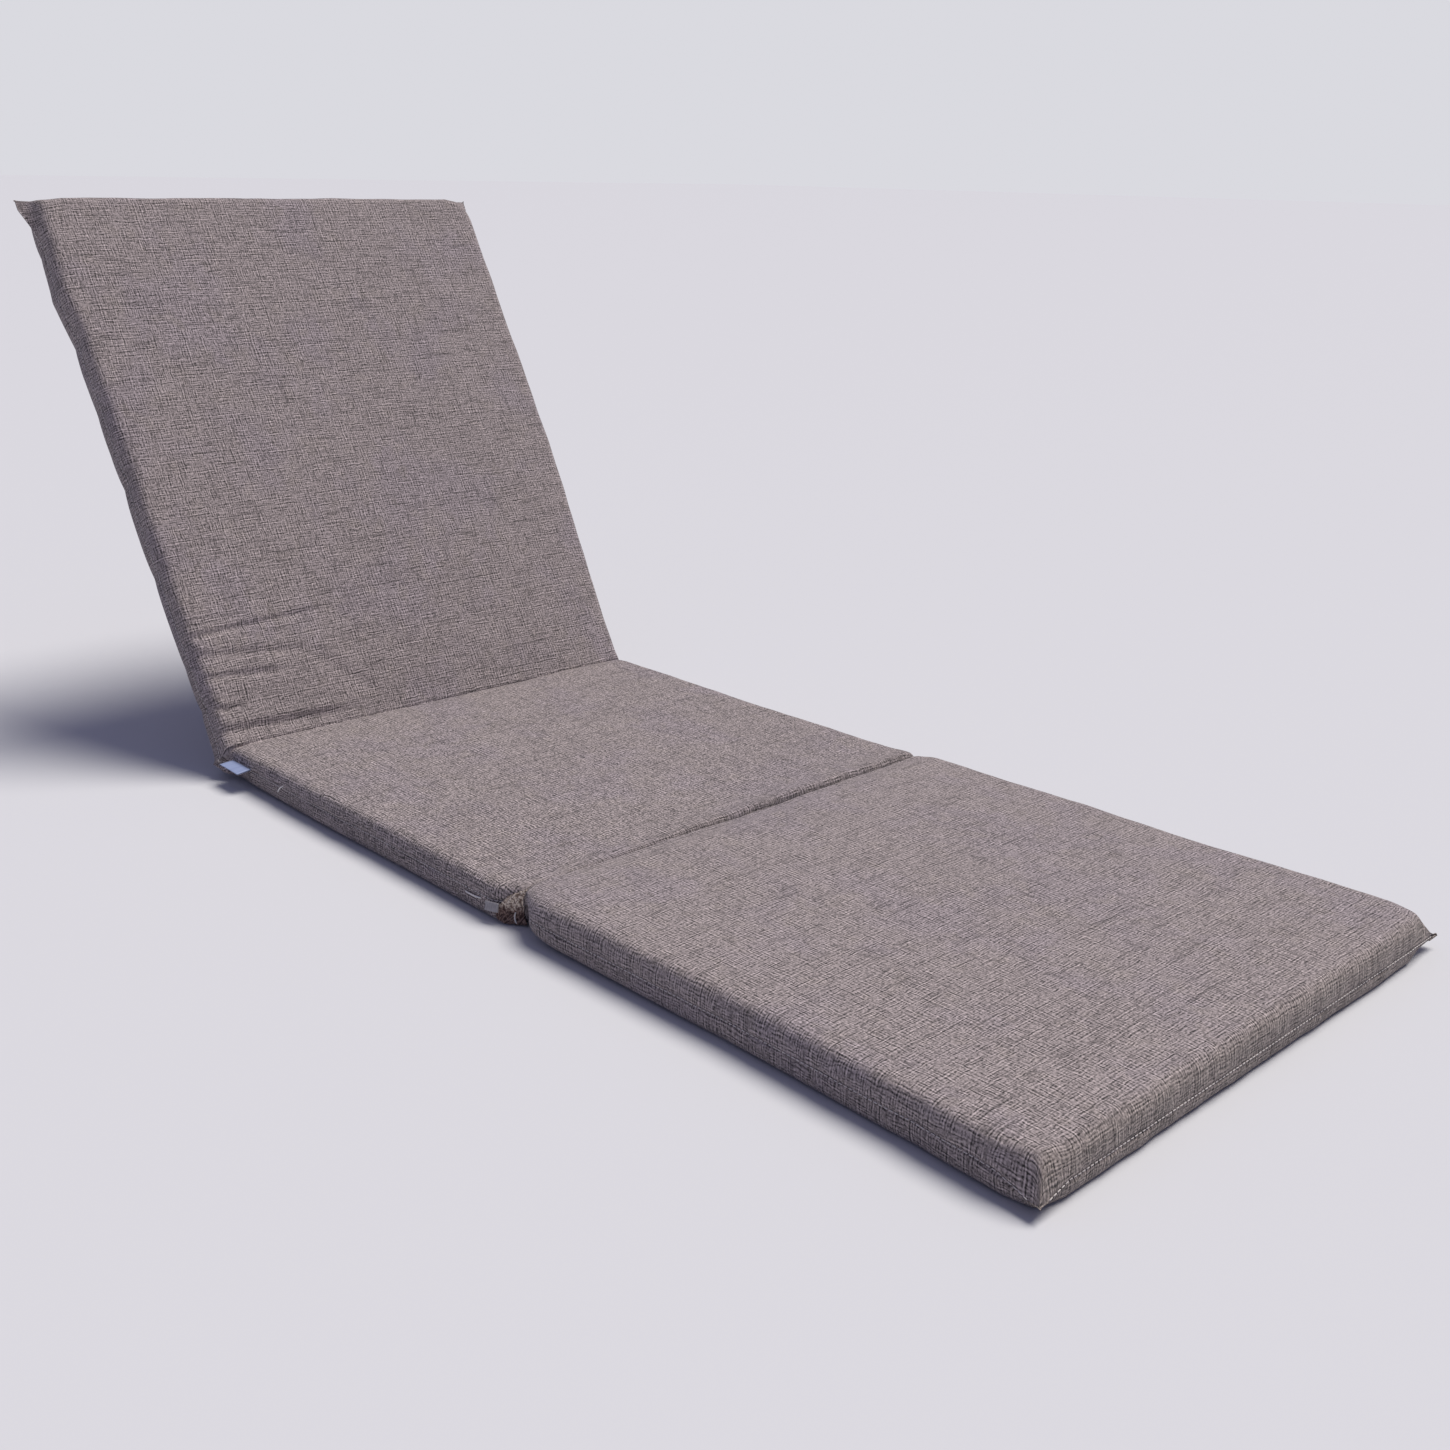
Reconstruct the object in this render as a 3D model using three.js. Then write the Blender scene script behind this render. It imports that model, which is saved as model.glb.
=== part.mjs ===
// Sun lounger cushion: three foam-filled pads in one sewn cover, lying with its backrest raised.
// Millimetres, +Z up. The origin is the middle of the seat's underside, the foot points to -Y and the
// head to +Y. The leg and seat pads lie flat on the ground, and the back pad leans away from the seat.
import * as THREE from "three";
import { mergeVertices } from "three/addons/utils/BufferGeometryUtils.js";

// Driving sizes of the cover, lengths measured from seam to seam
const LEAN = THREE.MathUtils.degToRad(60.3); // of the back above the ground
const TOP_RADIUS = 21; // of the top panel's turn over the long edges and free ends
const BOTTOM_RADIUS = 15; // of the bottom panel's turn there
const CHANNEL_RADIUS = 8; // of the pads' ends beside a channel
const CHANNEL_HALF = 1.2; // half the gap between two pads at the stitching
const WEB_HALF = 1.6; // half of the sewn cloth's thickness in a channel
const CROWN = 2.5; // rise of a pad's top in its middle
const CROWN_FLATNESS = 4; // exponent: a higher one keeps the rise further out
const CLEARANCE = 0.3; // between the sewn-on pieces and the cover
const HALF_WIDTH = 300; // of the cover, by and large; the crown ends there

// The three pads, from seam or stitching to the next, and how thick each is at its edges
const PADS = {
  leg: { length: 612, thick: 46 },
  seat: { length: 552, thick: 41 },
  back: { length: 707, thick: 46 },
};

// Width of the cover on either side of its middle line, at each pad's foot end, middle and head end
const WIDTHS = [
  { pad: "leg", side: -1, start: 309, middle: 301, end: 301 },
  { pad: "leg", side: 1, start: 312, middle: 304, end: 303 },
  { pad: "seat", side: -1, start: 299, middle: 295, end: 291 },
  { pad: "seat", side: 1, start: 302, middle: 297, end: 302 },
  { pad: "back", side: -1, start: 298, middle: 304, end: 312 },
  { pad: "back", side: 1, start: 303, middle: 314, end: 311 },
];

// Height of the cover's seam above each pad's underside, at its foot end, sides and head end
const SEAM_REACH = 60; // over which the height changes from an end to the sides
const SEAT_SEAM = 23;
const SEAM_HEIGHTS = {
  leg: { start: 18, side: 23, end: SEAT_SEAM },
  seat: { start: SEAT_SEAM, side: SEAT_SEAM, end: SEAT_SEAM },
  back: { start: PADS.back.thick - (PADS.seat.thick - SEAT_SEAM), side: 24, end: 24 },
};

// Notches where the channel between leg and seat, and the fold between seat and back, meet the sides:
// below zero the cloth bunches out there instead
const NOTCHES = [
  { at: "channel", side: -1, depth: 20, reach: 34 },
  { at: "channel", side: 1, depth: 8, reach: 22 },
  { at: "fold", side: -1, depth: -5, reach: 18 },
  { at: "fold", side: 1, depth: 3, reach: 22 },
];
const SLUMP = { depth: 10, reach: 100 }; // extra rounding of the near top edge beside the channel

// The seat and back press together at the fold, on the plane that halves their angle
const PRESS_LEAN = Math.tan(LEAN / 2);
const PRESS_OPEN = 0.45; // share of the foam above the seam that the crease still parts

// Corner ears, where the corners of the two panels stick out past the foam: how far each is pulled
// sideways, lengthwise and down, over what reach, and how much the foam shrinks from it above
const EARS = [
  { pad: "leg", side: -1, out: 4, on: 2, down: 9, reach: 38, hollow: 4 },
  { pad: "leg", side: 1, out: 25, on: -7, down: 2, reach: 36, hollow: 6 },
  { pad: "back", side: -1, out: 16, on: 3, down: 0, reach: 48, hollow: 3 },
  { pad: "back", side: 1, out: 12, on: 3, down: 2, reach: 32, hollow: 5 },
];
const EAR_POINT = 2.5; // exponent that gathers the pull in the seam

// Tucks in the side seam: where along the pad, how deep inwards, and over what reach; one is a bulge
const TUCKS = [
  { pad: "back", side: -1, along: 66, depth: 3, reach: 14 },
  { pad: "back", side: -1, along: 122, depth: 1.5, reach: 16 },
  { pad: "back", side: -1, along: 234, depth: 2.5, reach: 18 },
  { pad: "back", side: -1, along: 347, depth: 3.5, reach: 20 },
  { pad: "back", side: -1, along: 442, depth: 1.5, reach: 24 },
  { pad: "back", side: -1, along: 528, depth: 3.5, reach: 20 },
  { pad: "back", side: -1, along: 586, depth: -3.5, reach: 24 },
  { pad: "back", side: -1, along: 642, depth: 2, reach: 16 },
  { pad: "leg", side: -1, along: 120, depth: 2, reach: 30 },
  { pad: "leg", side: -1, along: 330, depth: 1.5, reach: 36 },
  { pad: "leg", side: 1, along: 250, depth: 1.5, reach: 36 },
];

// Wrinkles pressed into the back's face: the two ends of each, its depth and half its width
const WRINKLES = [
  { fromX: -300, fromAlong: 147, toX: -95, toAlong: 155, depth: 1.8, width: 9 },
  { fromX: -285, fromAlong: 122, toX: -140, toAlong: 106, depth: 2.2, width: 10 },
  { fromX: -304, fromAlong: 97, toX: -180, toAlong: 87, depth: 2.4, width: 8 },
  { fromX: -307, fromAlong: 65, toX: -265, toAlong: 50, depth: 2.2, width: 8 },
  { fromX: -280, fromAlong: 29, toX: -105, toAlong: 22, depth: 3.2, width: 9 },
  { fromX: -140, fromAlong: 89, toX: -70, toAlong: 28, depth: 1.8, width: 15 },
];
const WRINKLE_FADE = { start: 1.4, steep: 6, end: 3 }; // how a wrinkle dies out at its two ends

// Sewn-on pieces: sizes, the middle's place along Y, its height over the seam, and its slope
const LABEL = { out: 17, length: 42, thick: 1, y: 243, rise: 3, slope: -0.1 };
const TAB = { drop: 13, length: 22, thick: 1.4, y: -246, rise: -1, slope: 0.2 };

// Steps of the mesh
const EDGE_STEPS = 6;
const SHOULDER = 2.4; // exponent of the superellipse that turns an edge
const INNER_SHARES = [-0.84, -0.68, -0.5, -0.25, 0, 0.25, 0.5, 0.68, 0.84];
const SPACING = { end: 9, middle: 50, tucked: 24 };
const END_REACH = 52; // ears and notches shape a pad up to here from its ends
const WRINKLED_END = 178; // the back's face is wrinkled up to here
const INNER = Infinity; // inset of the columns that no ear reaches
const BEYOND = 1.5; // how far past a sewn-on piece's ends the cover is measured
const PLACES = 9; // measured along such a piece

const mix = (a, b, share) => a + (b - a) * share;

function smooth(share) {
  const held = Math.min(Math.max(share, 0), 1);
  return held * held * (3 - 2 * held);
}

// How the cloth turns over an edge, in shares of the edge's radius and of the height over the seam:
// step 0 is the seam and the last step the pad's flat face
function edge(step) {
  const angle = (step / EDGE_STEPS) * (Math.PI / 2);
  return {
    inset: 1 - Math.cos(angle) ** (2 / SHOULDER),
    rise: Math.sin(angle) ** (2 / SHOULDER),
  };
}

// A pad's own axes run along it and up from its underside
const SEAT_START = -PADS.seat.length / 2;
const FOLD_Y = PADS.seat.length / 2;
const FRAMES = {
  leg: { y: SEAT_START - PADS.leg.length, z: 0, turn: 0 },
  seat: { y: SEAT_START, z: 0, turn: 0 },
  back: {
    y: FOLD_Y + SEAM_HEIGHTS.back.start * Math.sin(LEAN),
    z: SEAT_SEAM - SEAM_HEIGHTS.back.start * Math.cos(LEAN),
    turn: LEAN,
  },
};

function placed(pad, x, along, height) {
  const { y, z, turn } = FRAMES[pad];
  const cos = Math.cos(turn);
  const sin = Math.sin(turn);
  return new THREE.Vector3(x, y + along * cos - height * sin, z + along * sin + height * cos);
}

function seamHeight(pad, along) {
  const { start, side, end } = SEAM_HEIGHTS[pad];
  const atStart = 1 - smooth(along / SEAM_REACH);
  const atEnd = 1 - smooth((PADS[pad].length - along) / SEAM_REACH);
  return side + (start - side) * atStart + (end - side) * atEnd;
}

// How far the side is drawn in at a distance from the channel or the fold
function notched(at, side, distance) {
  const { depth, reach } = NOTCHES.find((notch) => notch.at === at && notch.side === side);
  return depth * (1 - smooth(distance / reach));
}

function tucked(pad, side, along) {
  return TUCKS.filter((tuck) => tuck.pad === pad && tuck.side === side).reduce(
    (sum, tuck) => sum + tuck.depth * Math.exp(-(((along - tuck.along) / tuck.reach) ** 2)),
    0,
  );
}

function halfWidth(pad, side, along) {
  const { length } = PADS[pad];
  const { start, middle, end } = WIDTHS.find((width) => width.pad === pad && width.side === side);
  const toMiddle = smooth((2 * along) / length);
  const toEnd = smooth((2 * along) / length - 1);
  const sewn = start + (middle - start) * toMiddle + (end - middle) * toEnd;
  const half = sewn - tucked(pad, side, along);
  if (pad === "leg") return half - notched("channel", side, length - along);
  if (pad === "back") return half - notched("fold", side, along);
  return half - notched("channel", side, along) - notched("fold", side, length - along);
}

// The near top edge is rounder beside the channel
function slumped(pad, side, along) {
  if (side > 0 || pad === "back") return 0;
  const distance = pad === "leg" ? PADS.leg.length - along : along;
  return SLUMP.depth * (1 - smooth(distance / SLUMP.reach));
}

function crown(pad, x, along) {
  const across = x / HALF_WIDTH;
  const lengthwise = (2 * along) / PADS[pad].length - 1;
  const shares = [across, lengthwise].map((at) => Math.max(0, 1 - at ** CROWN_FLATNESS));
  return CROWN * shares[0] * shares[1];
}

function wrinkled(pad, x, along) {
  if (pad !== "back") return 0;
  return WRINKLES.reduce((sum, { fromX, fromAlong, toX, toAlong, depth, width }) => {
    const share = (x - fromX) / (toX - fromX);
    const { start, steep, end } = WRINKLE_FADE;
    const fade = smooth(start + steep * share) * smooth(end * (1 - share));
    const offset = (along - mix(fromAlong, toAlong, share)) / width;
    return sum + depth * fade * Math.exp(-offset * offset);
  }, 0);
}

// How far a point is pulled out into the ear of a corner near it
function earPull(row, column, rise) {
  const pull = new THREE.Vector3();
  const turn = FRAMES[row.pad].turn;
  for (const ear of EARS) {
    if (ear.pad !== row.pad || ear.side !== column.side) continue;
    const atFoot = ear.pad === "leg";
    const fromEnd = atFoot ? row.along : PADS[row.pad].length - row.along;
    const near = Math.max(0, 1 - Math.hypot(fromEnd, TOP_RADIUS * column.inset) / ear.reach) ** 2;
    const strength = near * (1 - rise) ** EAR_POINT;
    const hollow = near * ear.hollow * rise * (2 - rise);
    const on = atFoot ? -ear.on : ear.on;
    const onward = strength * on + (atFoot ? hollow : -hollow);
    const down = strength * ear.down;
    pull.x += ear.side * (strength * ear.out - hollow);
    pull.y += onward * Math.cos(turn) + down * Math.sin(turn);
    pull.z += onward * Math.sin(turn) - down * Math.cos(turn);
  }
  return pull;
}

// A point of the cover: a row runs across the cushion, a column runs along it
function coverPoint(row, column, onTop) {
  const { pad, along } = row;
  const half = halfWidth(pad, column.side, along);
  const topRadius = mix(BOTTOM_RADIUS, TOP_RADIUS + slumped(pad, column.side, along), row.topRise);
  const radius = onTop ? topRadius : BOTTOM_RADIUS;
  const overEdge = column.share === undefined;
  const x = overEdge ? column.side * (half - radius * column.inset) : column.share * half;
  const seam = seamHeight(pad, along);
  const rise = column.rise * (onTop ? row.topRise : row.rise);
  const relief = crown(pad, x, along) - wrinkled(pad, x, along);
  const full = onTop ? PADS[pad].thick - seam + relief * row.rise : -seam;
  const web = column.rise * WEB_HALF * (onTop ? 1 : -1);
  const up = row.web && !(onTop && row.press) ? web : rise * full;
  const press = onTop ? row.press * up * PRESS_LEAN : 0;
  return placed(pad, x, along + press, seam + up).add(earPull(row, column, rise));
}

// Rows over one end of a pad, from its seam or channel inwards: at an open end the first is the seam
function endRows(pad, atStart, kind) {
  const open = kind === "open";
  const pressed = kind === "fold";
  const rows = [];
  for (let step = open ? 0 : 1; step <= EDGE_STEPS; step++) {
    const { inset, rise } = edge(step);
    const distance = open ? BOTTOM_RADIUS * inset : CHANNEL_HALF + CHANNEL_RADIUS * inset;
    rows.push({
      pad,
      along: atStart ? distance : PADS[pad].length - distance,
      rise,
      topRise: pressed ? mix(1 - PRESS_OPEN, 1, rise) : rise,
      press: pressed ? (atStart ? 1 : -1) : 0,
    });
  }
  return atStart ? rows : rows.reverse();
}

// Rows between a pad's two turned ends, at the spacing of each stretch of it in turn
function innerRows(pad, from, stretches) {
  const rows = [];
  let last = from;
  for (const { to, spacing } of stretches) {
    const count = Math.round((to - last) / spacing);
    for (let k = 1; k <= count; k++) {
      rows.push({ pad, along: mix(last, to, k / count), rise: 1, topRise: 1, press: 0 });
    }
    last = to;
  }
  return rows.slice(0, -1); // the last is the turned end's own
}

function coverRows() {
  const { leg, seat, back } = PADS;
  const channel = CHANNEL_HALF + CHANNEL_RADIUS;
  const fold = channel + (seat.thick - SEAT_SEAM) * PRESS_LEAN;
  const legStretches = [
    { to: END_REACH, spacing: SPACING.end },
    { to: leg.length - END_REACH, spacing: SPACING.middle },
    { to: leg.length - channel, spacing: SPACING.end },
  ];
  const seatStretches = [
    { to: END_REACH, spacing: SPACING.end },
    { to: seat.length - END_REACH, spacing: SPACING.middle },
    { to: seat.length - fold, spacing: SPACING.end },
  ];
  const backStretches = [
    { to: WRINKLED_END, spacing: SPACING.end },
    { to: back.length - END_REACH, spacing: SPACING.tucked },
    { to: back.length - BOTTOM_RADIUS, spacing: SPACING.end },
  ];
  return [
    ...endRows("leg", true, "open"),
    ...innerRows("leg", BOTTOM_RADIUS, legStretches),
    ...endRows("leg", false, "channel"),
    { pad: "seat", along: 0, rise: 0, topRise: 0, press: 0, web: true },
    ...endRows("seat", true, "channel"),
    ...innerRows("seat", channel, seatStretches),
    ...endRows("seat", false, "fold"),
    { pad: "back", along: 0, rise: 0, topRise: 1 - PRESS_OPEN, press: 1, web: true },
    ...endRows("back", true, "fold"),
    ...innerRows("back", fold, backStretches),
    ...endRows("back", false, "open"),
  ];
}

function coverColumns() {
  const sideSteps = Array.from({ length: EDGE_STEPS + 1 }, (_, step) => edge(step));
  return [
    ...sideSteps.map((step) => ({ side: -1, ...step })),
    ...INNER_SHARES.map((share) => ({ side: share < 0 ? -1 : 1, share, rise: 1, inset: INNER })),
    ...sideSteps.map((step) => ({ side: 1, ...step })).reverse(),
  ];
}

// The top and bottom panels share their outline, the seam, so welding their points closes the cover
function cushionGeometry() {
  const rows = coverRows();
  const columns = coverColumns();
  const points = [];
  const triangles = [];
  for (const onTop of [true, false]) {
    const base = points.length / 3;
    for (const row of rows) {
      for (const column of columns) points.push(...coverPoint(row, column, onTop).toArray());
    }
    for (let j = 0; j < rows.length - 1; j++) {
      for (let i = 0; i < columns.length - 1; i++) {
        const a = base + j * columns.length + i;
        const b = a + 1;
        const c = b + columns.length;
        const d = a + columns.length;
        triangles.push(...(onTop ? [a, b, c, a, c, d] : [c, b, a, d, c, a]));
      }
    }
  }
  const geometry = new THREE.BufferGeometry();
  geometry.setAttribute("position", new THREE.Float32BufferAttribute(points, 3));
  geometry.setIndex(triangles);
  return mergeVertices(geometry, 1e-3);
}

const cloth = new THREE.MeshStandardMaterial({ color: 0x8f8488, roughness: 0.92, metalness: 0 });
const ribbon = new THREE.MeshStandardMaterial({ color: 0xb9c6e2, roughness: 0.55, metalness: 0 });

function named(name, geometry, material) {
  const mesh = new THREE.Mesh(geometry, material);
  mesh.name = name;
  return mesh;
}

// Puts a piece against the seat's near side, turned to follow it: the side's widest point between the
// piece's ends touches it, but for the clearance
function putBesideSeam(mesh, { length, y, rise, slope }) {
  const reach = length / 2 + BEYOND;
  const out = (at) => halfWidth("seat", -1, at - SEAT_START);
  const turn = (out(y + reach) - out(y - reach)) / (2 * reach);
  const places = Array.from({ length: PLACES }, (_, k) => mix(y - reach, y + reach, k / (PLACES - 1)));
  const touching = Math.max(...places.map((at) => out(at) - turn * (at - y)));
  mesh.position.set(-touching - CLEARANCE, y, SEAT_SEAM + rise);
  mesh.rotation.set(0, slope, Math.atan(turn), "ZYX");
  return mesh;
}

// The label is a folded ribbon that stands out sideways from the cover beside the fold
function label() {
  const geometry = new THREE.BoxGeometry(LABEL.out, LABEL.length, LABEL.thick);
  geometry.translate(-LABEL.out / 2, 0, 0);
  return putBesideSeam(named("label", geometry, ribbon), LABEL);
}

// The tab is a fold of the cover's own cloth that hangs from the seat's side seam near the channel
function tab() {
  const geometry = new THREE.BoxGeometry(TAB.thick, TAB.length, TAB.drop);
  geometry.translate(-TAB.thick / 2, 0, -TAB.drop / 2);
  return putBesideSeam(named("tab", geometry, cloth), TAB);
}

const cushion = new THREE.Group();
cushion.add(named("cushion", cushionGeometry(), cloth), label(), tab());
export default cushion;
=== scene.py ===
# Sun lounger cushion: leg, seat and raised back pads in one cover of heathered, linen-look cloth.
# Metres, +Z up, the foot towards -Y and the head towards +Y. Each section below makes one piece.
import math

import bpy
import numpy as np
from mathutils import Matrix, Vector, noise
from mathutils.bvhtree import BVHTree


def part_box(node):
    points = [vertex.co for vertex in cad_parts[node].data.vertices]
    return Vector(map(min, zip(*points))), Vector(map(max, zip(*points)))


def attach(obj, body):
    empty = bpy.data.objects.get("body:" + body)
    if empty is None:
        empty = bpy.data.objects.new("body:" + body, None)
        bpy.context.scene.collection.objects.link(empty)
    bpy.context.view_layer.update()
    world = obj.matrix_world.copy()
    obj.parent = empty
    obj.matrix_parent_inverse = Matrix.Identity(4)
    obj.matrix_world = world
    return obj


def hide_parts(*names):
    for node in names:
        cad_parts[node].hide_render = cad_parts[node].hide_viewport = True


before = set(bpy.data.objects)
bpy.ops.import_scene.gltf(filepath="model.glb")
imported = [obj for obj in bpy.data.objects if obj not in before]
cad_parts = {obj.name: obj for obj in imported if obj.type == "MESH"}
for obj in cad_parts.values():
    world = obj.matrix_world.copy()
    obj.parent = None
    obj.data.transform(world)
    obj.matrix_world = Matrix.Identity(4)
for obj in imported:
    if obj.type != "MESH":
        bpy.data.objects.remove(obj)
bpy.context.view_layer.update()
scene = bpy.context.scene


# THE VIEW.
# It looks along the cushion from beside its foot end, on the near side and from a little above.
VIEW_FROM = Vector((-1.1664, -1.4368, 0.6894))
VIEW_YAW, VIEW_PITCH, VIEW_ROLL = 0.77834, 0.32128, 0.02117
FOCAL_LENGTH_MM = 41.445

flat_ahead = Vector((math.sin(VIEW_YAW), math.cos(VIEW_YAW), 0))
ahead = math.cos(VIEW_PITCH) * flat_ahead - Vector((0, 0, math.sin(VIEW_PITCH)))
level = Vector((math.cos(VIEW_YAW), -math.sin(VIEW_YAW), 0))
upright = level.cross(ahead)
to_right = math.cos(VIEW_ROLL) * level + math.sin(VIEW_ROLL) * upright
to_top = math.cos(VIEW_ROLL) * upright - math.sin(VIEW_ROLL) * level
camera_data = bpy.data.cameras.new("view")
camera_data.lens = FOCAL_LENGTH_MM
camera = bpy.data.objects.new("view", camera_data)
camera_turn = Matrix((to_right, to_top, -ahead)).transposed().to_4x4()
camera.matrix_world = Matrix.Translation(VIEW_FROM) @ camera_turn
scene.collection.objects.link(camera)
scene.camera = camera


# THE CUSHION.
# Foam pads in a cover of two panels, seamed together round the sides at about half height. Stitching
# across it makes the channel between leg and seat and the fold between seat and back, and the
# panels' corners stand out past the foam as ears. Sizes are in millimetres.
MM = 0.001
LEAN = math.radians(60.3)
TOP_RADIUS, BOTTOM_RADIUS, CHANNEL_RADIUS = 17, 15, 8
CHANNEL_HALF, WEB_HALF = 1.2, 1.6
CROWN, CROWN_FLATNESS, HALF_WIDTH = 2.5, 4, 300
LENGTHS = {"leg": 612, "seat": 552, "back": 707}
THICK = {"leg": 46, "seat": 41, "back": 46}
SEAT_SEAM = 23
BACK_SEAM = THICK["back"] - (THICK["seat"] - SEAT_SEAM)
# Half widths at the foot end, the middle and the head end, on the near (-1) and the far (1) side
WIDTHS = {
    ("leg", -1): (309, 301, 301),
    ("leg", 1): (312, 304, 303),
    ("seat", -1): (299, 295, 291),
    ("seat", 1): (302, 297, 302),
    ("back", -1): (298, 304, 312),
    ("back", 1): (304, 314, 311),
}
# The seam's height over the underside at the foot end, the sides and the head end
SEAM_HEIGHTS = {"leg": (18, 23, SEAT_SEAM), "seat": (SEAT_SEAM,) * 3, "back": (BACK_SEAM, 24, 24)}
SEAM_REACH = 60
# Depth and reach of the notches beside the channel and the fold
NOTCHES = {
    ("channel", -1): (20, 34),
    ("channel", 1): (8, 22),
    ("fold", -1): (-2, 18),
    ("fold", 1): (-2, 22),
}
# The share of a notch's depth that the top panel keeps, so that it reaches over the notch
NOTCH_TOP = 0.45
# How much rounder the near side's upper edge gets towards the channel, and over what length
SLUMP_DEPTH, SLUMP_REACH = 10, 100
# The underside's rises off the ground on the near side towards a pad's head end, each with its reach.
# They fade in from UNDER_LIFT_FROM to UNDER_LIFT_TO, measured from the middle to the near side.
UNDER_LIFTS = {"leg": ((13, 62), (2.5, 330)), "seat": ((5, 62), (2, 200)), "back": ()}
UNDER_LIFT_FROM, UNDER_LIFT_TO = 150, 270
# Seat and back press on each other at the fold, in the plane halfway between them
PRESS_LEAN = math.tan(LEAN / 2)
# The crease of the channel and of the fold, at places across: its depth as a share of the foam over
# the seam, and the radius at which each pad's face turns down into it
CREASE_X = (-300, -284, -268, -110, 0, 90, 284, 302)
CHANNEL_DEPTHS = (1, 1, 0.24, 0.44, 0.60, 0.70, 0.65, 1)
FOLD_DEPTHS = (0.40, 0.16, 0.02, 0.02, 0.03, 0.04, 0.04, 0.2)
UNDER_FOLD_DEPTHS = (0.05, 0.12, 0.45, 0.7, 0.7, 0.7, 0.6, 0.4)
# How far the leg's and the seat's face sink towards their head ends, over DIP_REACH, and how far the
# seat's rises to the channel, over RISE_REACH. DIP_FADE is for the back's face, which follows the seat's.
LEG_DIPS = (2, 2, 2, 5, 7, 6, 5, 5)
SEAT_DIPS = (0, 0, 0, 0.5, 1.5, 2.5, 3, 2)
SEAT_RISES = (0, 0, 0, 1.5, 4, 5.5, 4, 1)
DIP_REACH, RISE_REACH, DIP_FADE = 34, 48, 20
# The radius of each crease, by pad and by whether it is at the pad's foot end
CREASE_RADII = {
    ("leg", False): (8, 8, 3, 2.5, 2.5, 2.5, 3, 8),
    ("seat", True): (8, 8, 5, 6, 8, 9, 9, 8),
    ("seat", False): (5, 3, 2, 2, 2, 2, 2, 5),
    ("back", True): (4, 3, 2.5, 2.5, 2, 2, 2, 4),
}
# Ears: pad, side, pull sideways, lengthwise and down, reach, hollow above. EAR_POINT draws the pull to
# the seam, EAR_FLAT is the part of the reach at full pull, and EAR_TAPER shapes the rest.
EARS = (
    ("leg", -1, 4, 2, 6, 38, 4),
    ("leg", 1, 21, -4, 5, 42, 6.5),
    ("back", -1, 15, 2, 0, 52, 3),
    ("back", 1, 12, 3, 2, 36, 5),
)
EAR_POINT, EAR_FLAT, EAR_TAPER = 5.0, 12, 1.15
# The bunch of cloth at the near end of the fold: its middle's y and z, how far it stands out, its reach,
# and the x that it stays beyond
BUNCH_Y, BUNCH_Z, BUNCH_OUT, BUNCH_REACH, BUNCH_WITHIN = 278, 11, 11, 22, -280
# Tucks in the side seam: pad, side, place along it, depth, reach. TUCK_POINT sharpens them.
TUCK_POINT = 0.9
TUCKS = (
    ("back", -1, 66, 3, 14),
    ("back", -1, 122, 1.5, 16),
    ("back", -1, 234, 2.5, 18),
    ("back", -1, 347, 3.5, 20),
    ("back", -1, 442, 1.5, 24),
    ("back", -1, 528, 3.5, 20),
    ("back", -1, 586, -3.5, 24),
    ("back", -1, 642, 2, 16),
    ("leg", -1, 120, 2, 30),
    ("leg", -1, 330, 1.5, 36),
    ("leg", 1, 250, 1.5, 36),
)
# Wrinkles in the back's face: from x and along, to x and along, depth, half width. Each has a low
# roll beside it, RIM_SHARE of its depth and RIM_OFFSET half widths away. It fades in ahead of its
# start and out over its last third.
RIM_SHARE, RIM_OFFSET = 0.35, 1.6
FADE_IN, FADE_AHEAD, FADE_OUT = 6, 1.4, 3
WRINKLES = (
    (-300, 147, -95, 155, 2.4, 4),
    (-285, 122, -140, 106, 2.0, 6),
    (-304, 97, -180, 87, 2.5, 4.5),
    (-307, 65, -265, 50, 3.2, 4.2),
    (-280, 29, -105, 22, 3.4, 6.5),
    (-140, 89, -70, 28, 1.6, 13),
)
# Heights of the rows and columns over the seam, as shares, at an edge and at a crease, and the power
# of the superellipse that they lie on
EDGE_RISES = (0, 0.03, 0.065, 0.11, 0.18, 0.29, 0.43, 0.58, 0.72, 0.84, 0.93, 0.975, 0.993, 0.999, 1)
CHANNEL_RISES = (0.12, 0.3, 0.5, 0.68, 0.83, 0.93, 0.985, 1)
SHOULDER = 3.3
ROW_STEP, COLUMN_STEP, INNER_SHARE = 5.5, 6.0, 0.885
# The back is wrinkled up to WRINKLED along it, and has closer rows there
WRINKLED, WRINKLED_STEP = 175, 2.6
# Far more than the other shapes reach: stands for "no edge near" in the ears' distances
FAR_AWAY = 1e6
PAD_NAMES = ("leg", "seat", "back")


def smooth(share):
    held = np.clip(share, 0, 1)
    return held * held * (3 - 2 * held)


def run_of(line):
    """How far along a line each of its points lies."""
    return np.concatenate([[0], np.linalg.norm(np.diff(line, axis=0), axis=1).cumsum()])


def points_at(line, places, wanted):
    """A line's points at the wanted places, where places says where its own points lie."""
    return np.stack([np.interp(wanted, places, line[:, k]) for k in range(3)], axis=1)


def inset_at(rise):
    """How far in from the edge the side has curved at a rise, as a share of its radius."""
    angle = np.arcsin(np.power(rise, SHOULDER / 2))
    return 1 - np.power(np.maximum(np.cos(angle), 0), 2 / SHOULDER)


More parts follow.
